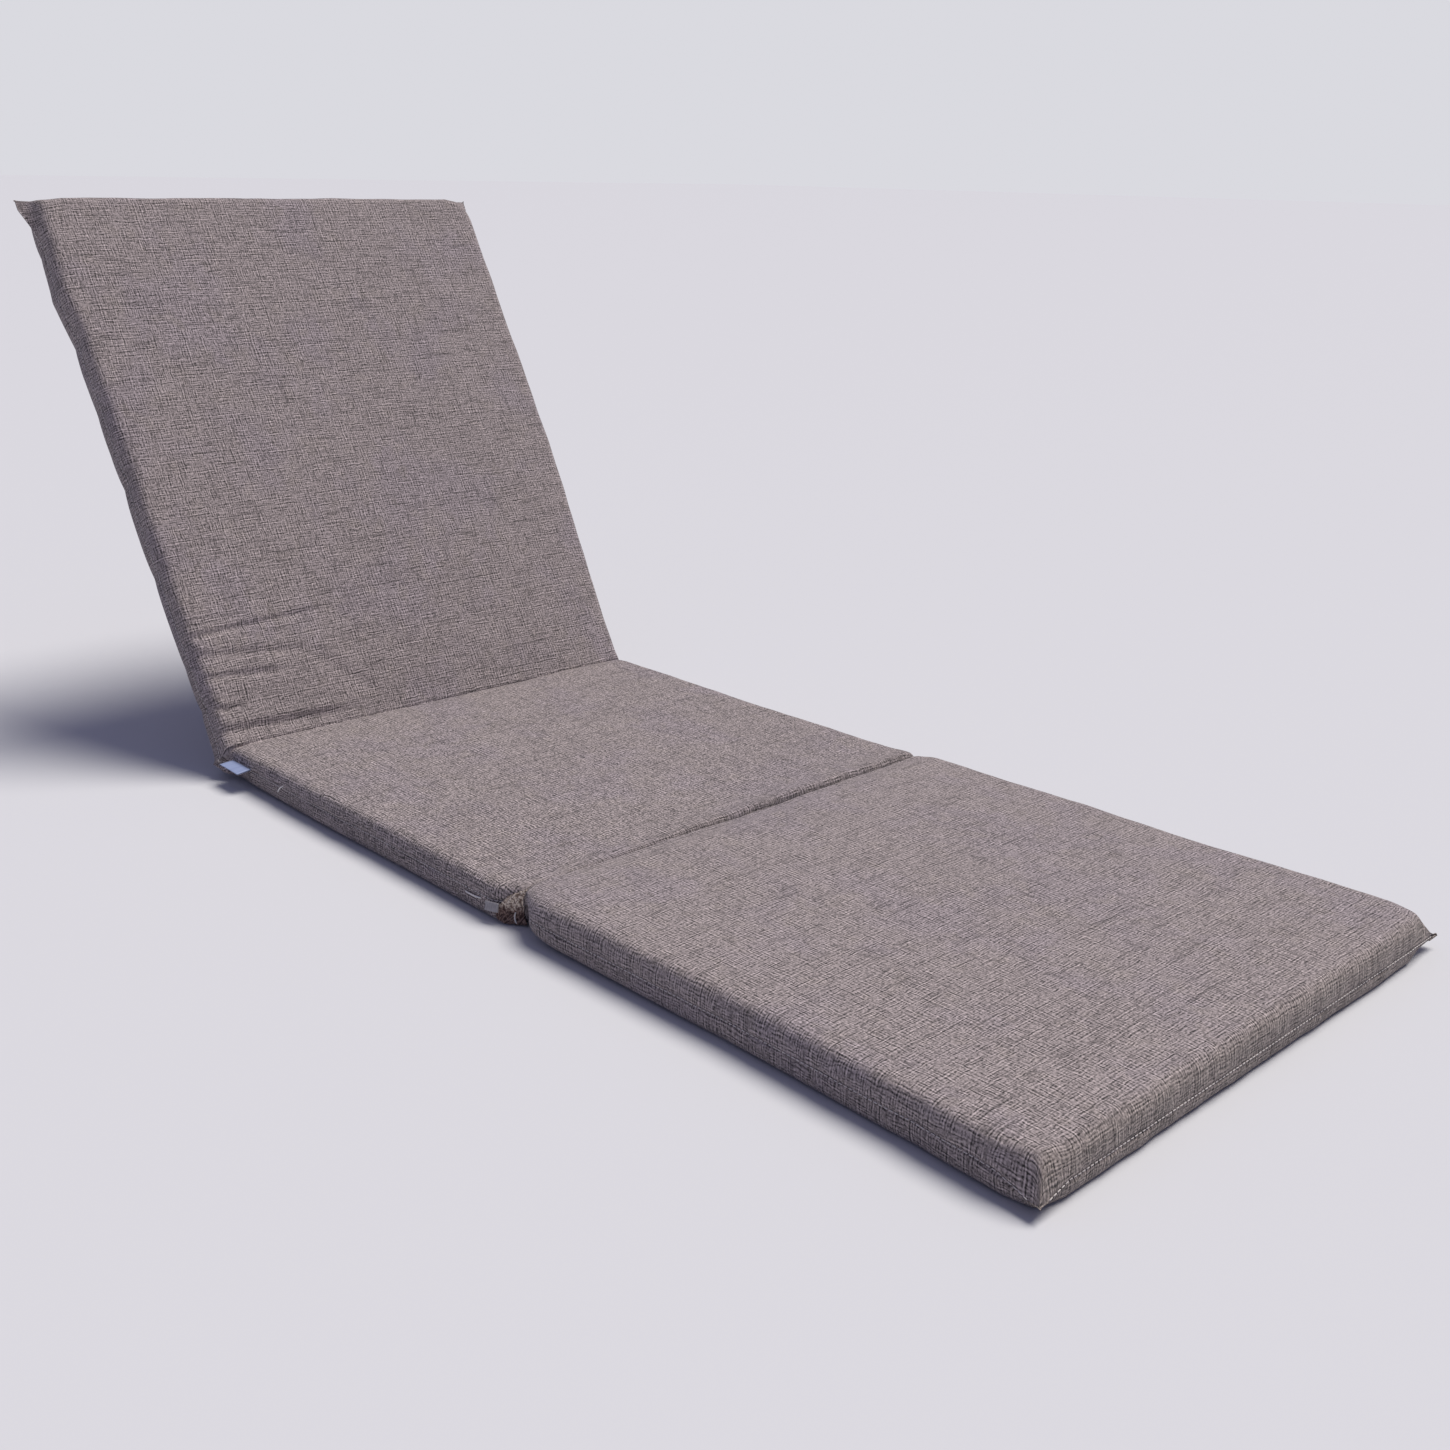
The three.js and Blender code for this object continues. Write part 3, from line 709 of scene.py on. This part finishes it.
def folded_strip(name, width, out, thickness, gap, place, axes):
    """A strip of cloth folded in two, so wide and standing so far out, with its edges at a place. Its
    axes point across it, outward and up."""
    across, outward, up = axes
    turn = gap / 2 + thickness / 2
    reach = out - turn
    flat_part = [reach * k / STRIP_STEPS for k in range(STRIP_STEPS + 1)]
    turn_angles = np.linspace(TURN_START, math.pi - TURN_START, STRIP_STEPS + 1)
    line = [(step, turn) for step in flat_part]
    line += [(reach + turn * math.sin(angle), turn * math.cos(angle)) for angle in turn_angles]
    line = np.array(line + [(step, -turn) for step in flat_part[::-1]])
    tangent = np.gradient(line, axis=0)
    tangent = tangent / np.linalg.norm(tangent, axis=1)[:, None]
    normal = np.stack([-tangent[:, 1], tangent[:, 0]], axis=1)
    outline = np.concatenate([line + normal * thickness / 2, (line - normal * thickness / 2)[::-1]])
    columns = []
    for step in np.linspace(-width / 2, width / 2, STRIP_COLUMNS):
        curl = STRIP_CURL * math.sin(CURL_TURN * step / width + CURL_START) / out
        columns.append([place + across * step + outward * o + up * (h + curl * o) for o, h in outline])
    grid = np.array(columns)
    count = len(outline)
    index = np.arange(grid.shape[0] * count).reshape(-1, count)
    strip_faces = []
    for i in range(grid.shape[0] - 1):
        for k in range(count):
            n = (k + 1) % count
            strip_faces.append((index[i, k], index[i + 1, k], index[i + 1, n], index[i, n]))
    halfway = count // 2
    for i, flip in ((0, False), (grid.shape[0] - 1, True)):
        for k in range(halfway - 1):
            face = (index[i, k], index[i, k + 1], index[i, count - 2 - k], index[i, count - 1 - k])
            strip_faces.append(face[::-1] if flip else face)
    piece = make_mesh(name, grid.reshape(-1, 3), strip_faces)
    column_width = width / (STRIP_COLUMNS - 1)
    set_cloth(piece, [(v // count * column_width, v % count, 0) for face in strip_faces for v in face])
    return piece


label_low, label_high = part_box("label")
label_middle = (label_low + label_high) / 2 / MM
label_place = np.array([label_high.x / MM - LABEL_IN, label_middle.y, label_high.z / MM - LABEL_DOWN])
label_axes = np.array(((LABEL_TURN, 1, 0), (-0.995, LABEL_TURN, -0.1), (-0.1, 0, 0.995)))
label = folded_strip(
    "ribbon_label", LABEL_WIDTH, LABEL_OUT, RIBBON, LABEL_GAP, label_place, label_axes
)
ribbon = yarn_material(
    "woven_ribbon",
    yarn_mm=(0.6, 9),
    seed=1.0,
    limits=(0.3, 0.7),
    dark=(0.20, 0.25, 0.43),
    pale=(0.29, 0.35, 0.54),
    strength=0.4,
    depth=0.0002,
    Roughness=0.5,
    Sheen_Weight=0.2,
    Specular_IOR_Level=0.4,
)
label.data.materials.append(ribbon)
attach(label, "root")
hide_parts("label")


# THE TAB.
# A small fold of plain, paler cloth, sewn into the near side seam beside the channel. It hangs down and
# follows the side, which slopes in there towards the notch.
TAB_WIDTH, TAB_DROP, TAB_CLOTH, TAB_GAP = 15, 9, 0.5, 0.4
TAB_IN, TAB_DOWN, TAB_SLOPE = 0.6, 0.2, math.atan(0.3)
tab_low, tab_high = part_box("tab")
tab_middle = (tab_low + tab_high) / 2 / MM
tab_place = np.array([tab_middle.x + TAB_IN, tab_middle.y, tab_high.z / MM - TAB_DOWN])
along_the_side = (-math.sin(TAB_SLOPE), math.cos(TAB_SLOPE), 0)
tab_axes = np.array((along_the_side, (-0.2, -0.05, -0.98), (-0.94, -0.28, 0.2)))
tab = folded_strip("cloth_tab", TAB_WIDTH, TAB_DROP, TAB_CLOTH, TAB_GAP, tab_place, tab_axes)
plain = yarn_material(
    "plain_tab_cloth",
    yarn_mm=(0.7, 5),
    seed=2.2,
    limits=(0.35, 0.65),
    dark=(0.26, 0.245, 0.26),
    pale=(0.40, 0.38, 0.395),
    strength=0.4,
    depth=0.0003,
    Roughness=0.85,
    Sheen_Weight=0.1,
    Specular_IOR_Level=0.3,
)
tab.data.materials.append(plain)
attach(tab, "root")
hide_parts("tab")


# THE TURNED-IN CLOTH AT THE CHANNEL'S NEAR END.
# Where the channel meets the side, the cover's edges are turned in. Their colour is painted light and
# shade: pale above for the sunlight falling there, brown below for shade.
TURNED_SEAT_SIDE = (
    (-290.3, -259.3, 29.5),
    (-295.1, -251.1, 19.0),
    (-296.3, -247.7, 9.8),
    (-296.5, -250.0, 5.0),
    (-292.6, -256.6, 1.4),
)
TURNED_LEG_SIDE = (
    (-283.1, -280.0, 41.5),
    (-281.5, -276.5, 32.0),
    (-280.8, -273.0, 21.0),
    (-280.6, -271.5, 10.0),
    (-280.5, -276.8, 2.5),
)
TURNED_THICK, TURNED_PROUD, TURNED_PLEAT = 0.8, 1.3, 1.1
TURNED_ROWS, TURNED_COLUMNS = 21, 19
# Wide pleats that wander on their way down, and lower ones that lean: angles in radians
WIDE_PLEATS, WIDE_WANDER, WANDER_TURNS = 17, 2.2, 4
FINE_PLEATS, FINE_LEAN, FINE_HEIGHT = 29, 6, 0.6
# The cloth is laid on the cover by casting rays into the notch, from this far out
INTO_NOTCH, CAST_LENGTH = Vector((0.86, 0.51, 0)).normalized(), 40
# Below the first height the cloth is painted brown for shade and above the second pale for sunlight, with
# blots that move the limit by up to half of BLOT_SIZE
SUNLIT_FROM, SUNLIT_TO, BLOT_SIZE = 13, 22, 16
# The flecks' two tones where sunlight is painted and where shade is painted
SUNLIT_FLECKS = (0.26, 0.19, 0.155, 1), (0.90, 0.78, 0.66, 1)
SHADED_FLECKS = (0.07, 0.042, 0.038, 1), (0.30, 0.21, 0.18, 1)


def border(index):
    """The border of a grid, once round."""
    return np.concatenate([index[0], index[1:, -1], index[-1, -2::-1], index[-2:0:-1, 0]])


def along_line(line, shares):
    line = np.array(line, float)
    places = run_of(line)
    return points_at(line, places, shares * places[-1])


down_shares, across_shares = np.linspace(0, 1, TURNED_ROWS), np.linspace(0, 1, TURNED_COLUMNS)
seat_line = along_line(TURNED_SEAT_SIDE, down_shares)
leg_line = along_line(TURNED_LEG_SIDE, down_shares)
flat_grid = seat_line[:, None] + (leg_line - seat_line)[:, None] * across_shares[None, :, None]
skin = BVHTree.FromPolygons([tuple(point) for point in points], [tuple(map(int, face)) for face in faces])
pleat_wander = WIDE_WANDER * np.sin(down_shares[:, None] * WANDER_TURNS)
pleats = np.sin(across_shares[None, :] * WIDE_PLEATS + pleat_wander)
fine_pleats = np.sin(across_shares[None, :] * FINE_PLEATS - down_shares[:, None] * FINE_LEAN)
pleats = pleats + FINE_HEIGHT * fine_pleats
proud = TURNED_PROUD + TURNED_PLEAT * pleats * np.sin(math.pi * across_shares)[None, :] ** 0.5
outer = np.empty_like(flat_grid)
for cell in np.ndindex(flat_grid.shape[:2]):
    cast_from = Vector(flat_grid[cell]) - CAST_LENGTH * INTO_NOTCH
    found = skin.ray_cast(cast_from, INTO_NOTCH)
    reached = CAST_LENGTH if found[0] is None else min(CAST_LENGTH, found[3])
    outer[cell] = cast_from + INTO_NOTCH * float(reached - proud[cell])
inner = outer + np.array(INTO_NOTCH) * TURNED_THICK
outer_index = np.arange(outer[..., 0].size).reshape(outer.shape[:2])
inner_index = outer_index + outer_index.size
edge_loop = border(outer_index)
turned_faces = [tuple(face) for face in quads(outer_index, True)]
turned_faces += [tuple(face) for face in quads(inner_index, False)]
for a, b in zip(edge_loop, np.roll(edge_loop, -1)):
    turned_faces.append((a, b, b + outer_index.size, a + outer_index.size))
turned_points = np.concatenate([outer, inner]).reshape(-1, 3)
turned_cloth = make_mesh("turned_in_cloth", turned_points, turned_faces)
set_cloth(turned_cloth, turned_points[np.concatenate(turned_faces)][:, [1, 2, 0]])
notch_paint, shade, shader = new_material("notch_painted_sun_and_shade", Roughness=0.95, Specular_IOR_Level=0.15)
cloth = lay_of(shade)
height = cloth.dot(ALONG)
flecks = threads(shade, cloth, 1.3, 3.2, 2.0, seed=2.0).between(0.42, 0.58)
blots = threads(shade, cloth, 7, 7, 1.0, seed=5.0)
# Painted sunlight above, painted shade below
upper, lower = shade.blend(flecks, *SUNLIT_FLECKS), shade.blend(flecks, *SHADED_FLECKS)
up_the_notch = (height * (1 / MM) + blots * BLOT_SIZE - BLOT_SIZE / 2).between(SUNLIT_FROM, SUNLIT_TO)
notch_paint_colour = shade.blend(up_the_notch, lower, upper)
set_surface(notch_paint, shader, notch_paint_colour, flecks, strength=0.8, depth=0.0008)
turned_cloth.data.materials.append(notch_paint)
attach(turned_cloth, "root")


# THE SEAM'S STITCHES AND THE LOOSE THREAD ENDS.
# A row of stitches runs round the cover in the seam, pale as painted highlight along its edge, and three
# ends of thread were left long, near white as painted highlight.
STITCH, STITCH_GAP, THREAD, LOOSE_THREAD = 3.8, 1.4, 0.5, 0.75
# How far the stitches' middles lie off the cover beyond the thread's radius, and how near they come to
# the tips of the ears, where none shows
STITCH_PROUD, TIP_LEFT_BARE = 0.6, 17
STITCH_SHARES = np.array([0, 0.12, 0.5, 0.88, 1])
BLUNT_TIP, ANY_DIRECTION = 0.4, (0.31, 0.17, 0.93)
THREAD_ENDS = (
    ((-291.5, 149.5, 26.5), (-294.6, 151.5, 25), (-295.2, 156, 20.5), (-294, 160, 16.5)),
    ((-286.5, -266, 14), (-288.2, -266, 11), (-288.2, -267, 5), (-286.5, -268, 1.5)),
    ((-297.5, -200, 17.6), (-299.2, -208, 18.2), (-299.4, -218, 18.4), (-298, -227, 18.8)),
)


def thread_run(line, radius, sides=5):
    """Points and faces of a thread along a line of points, drawn in to a blunt tip at each end."""
    line = np.asarray(line, float)
    tangent = np.gradient(line, axis=0)
    tangent /= np.linalg.norm(tangent, axis=1)[:, None]
    first = np.cross(tangent, ANY_DIRECTION)
    first /= np.linalg.norm(first, axis=1)[:, None]
    second = np.cross(tangent, first)
    thin = np.ones(len(line))
    thin[[0, -1]] = BLUNT_TIP
    angles = (np.arange(sides) * 2 * math.pi / sides)[None, :, None]
    ring = first[:, None] * np.cos(angles) + second[:, None] * np.sin(angles)
    cover_points = line[:, None] + ring * (radius * thin)[:, None, None]
    index = np.arange(len(line) * sides).reshape(len(line), sides)
    run_faces = [tuple(range(sides))[::-1], tuple(index[-1])]
    for k in range(len(line) - 1):
        for j in range(sides):
            n = (j + 1) % sides
            run_faces.append((index[k, j], index[k, n], index[k + 1, n], index[k + 1, j]))
    return cover_points.reshape(-1, 3), run_faces


def smooth_line(corners, count=14):
    """A line through the corners with the turns between them smoothed."""
    corners = np.asarray(corners, float)
    line = points_at(corners, range(len(corners)), np.linspace(0, len(corners) - 1, count))
    for _ in range(3):
        line[1:-1] = (line[:-2] + 2 * line[1:-1] + line[2:]) / 4
    return line


def join_runs(name, runs):
    all_points, all_faces, start = [], [], 0
    for run_points, run_faces in runs:
        all_points.append(run_points)
        all_faces += [tuple(v + start for v in face) for face in run_faces]
        start += len(run_points)
    joined = np.concatenate(all_points)
    piece = make_mesh(name, joined, all_faces)
    set_cloth(piece, joined[np.concatenate(all_faces)])
    return piece


rim = border(top_index)
outward = np.empty(len(points) * 3, np.float32)
cushion.data.vertex_normals.foreach_get("vector", outward)
rim_line = points[rim] + outward.reshape(-1, 3)[rim] * (THREAD + STITCH_PROUD)
rim_line = np.concatenate([rim_line, rim_line[:1]])
rim_places = run_of(rim_line)
corner_steps = np.cumsum([0, column_count - 1, row_count - 1, column_count - 1, row_count - 1])
corner_places = rim_places[corner_steps]
stitches = []
for number in range(int(rim_places[-1] / (STITCH + STITCH_GAP))):
    start = number * (STITCH + STITCH_GAP)
    if np.abs(corner_places - start).min() > TIP_LEFT_BARE:
        line = points_at(rim_line, rim_places, start + STITCH_SHARES * STITCH)
        stitches.append(thread_run(line, THREAD))
seam_stitches = join_runs("seam_stitches", stitches)
loose_runs = [thread_run(smooth_line(corners), LOOSE_THREAD) for corners in THREAD_ENDS]
thread_ends = join_runs("thread_ends", loose_runs)
for piece, name, dark, pale in (
    # The stitches' paleness is painted highlight along the seam's edge
    (seam_stitches, "sewing_thread_painted_highlight", (0.46, 0.42, 0.41), (0.68, 0.63, 0.62)),
    # The loose threads' near white is painted highlight
    (thread_ends, "loose_thread_painted_highlight", (0.72, 0.69, 0.68), (0.90, 0.88, 0.87)),
):
    strands = yarn_material(
        name,
        yarn_mm=(0.5, 0.5),
        seed=3.0,
        limits=(0.35, 0.65),
        dark=dark,
        pale=pale,
        strength=0.5,
        depth=0.0002,
        Roughness=0.6,
        Sheen_Weight=0.2,
        Specular_IOR_Level=0.35,
    )
    piece.data.materials.append(strands)
    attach(piece, "root")


# THE FLOOR AND THE LIGHT.
# A plain pale floor under a plain pale sky, with one broad soft light from high above the far side. The
# sky lights the part with a bluer and weaker colour than the one that the camera sees.
FLOOR_REACH = 60
FLOOR_COLOUR = (0.60, 0.60, 0.63, 1)
SKY_COLOUR, SKY_STRENGTH = (0.82, 0.86, 1.32, 1), 0.22
BACKDROP_COLOUR = (0.70, 0.70, 0.745, 1)
LIGHT_FROM, LIGHT_STRENGTH, LIGHT_SPREAD = Vector((0.40, -0.15, 0.90)), 3.5, math.radians(35)
LIGHT_COLOUR = (1.0, 0.965, 0.89)

floor_mesh = bpy.data.meshes.new("floor")
floor_corners = ((-1, -1), (1, -1), (1, 1), (-1, 1))
floor_points = [(x * FLOOR_REACH, y * FLOOR_REACH, 0) for x, y in floor_corners]
floor_mesh.from_pydata(floor_points, [], [(0, 1, 2, 3)])
floor = bpy.data.objects.new("floor", floor_mesh)
scene.collection.objects.link(floor)
pale = new_material("pale_floor", Base_Color=FLOOR_COLOUR, Roughness=0.9, Specular_IOR_Level=0.1)[0]
floor_mesh.materials.append(pale)

light_data = bpy.data.lights.new("broad_light", "SUN")
light_data.energy, light_data.angle = LIGHT_STRENGTH, LIGHT_SPREAD
light_data.color = LIGHT_COLOUR
light = bpy.data.objects.new("broad_light", light_data)
light.rotation_euler = LIGHT_FROM.to_track_quat("Z", "Y").to_euler()
scene.collection.objects.link(light)

world = bpy.data.worlds.new("room")
scene.world = world
world.use_nodes = True
room = Shade(world.node_tree)
fill = room.node("Background", None, {"Color": SKY_COLOUR, "Strength": SKY_STRENGTH})
seen = room.node("Background", None, {"Color": BACKDROP_COLOUR, "Strength": 1.0})
whole = room.node("MixShader", None, {0: room.node("LightPath"), 1: fill, 2: seen})
world.node_tree.links.new(whole.socket, world.node_tree.nodes["World Output"].inputs["Surface"])
scene.view_settings.view_transform = "Standard"
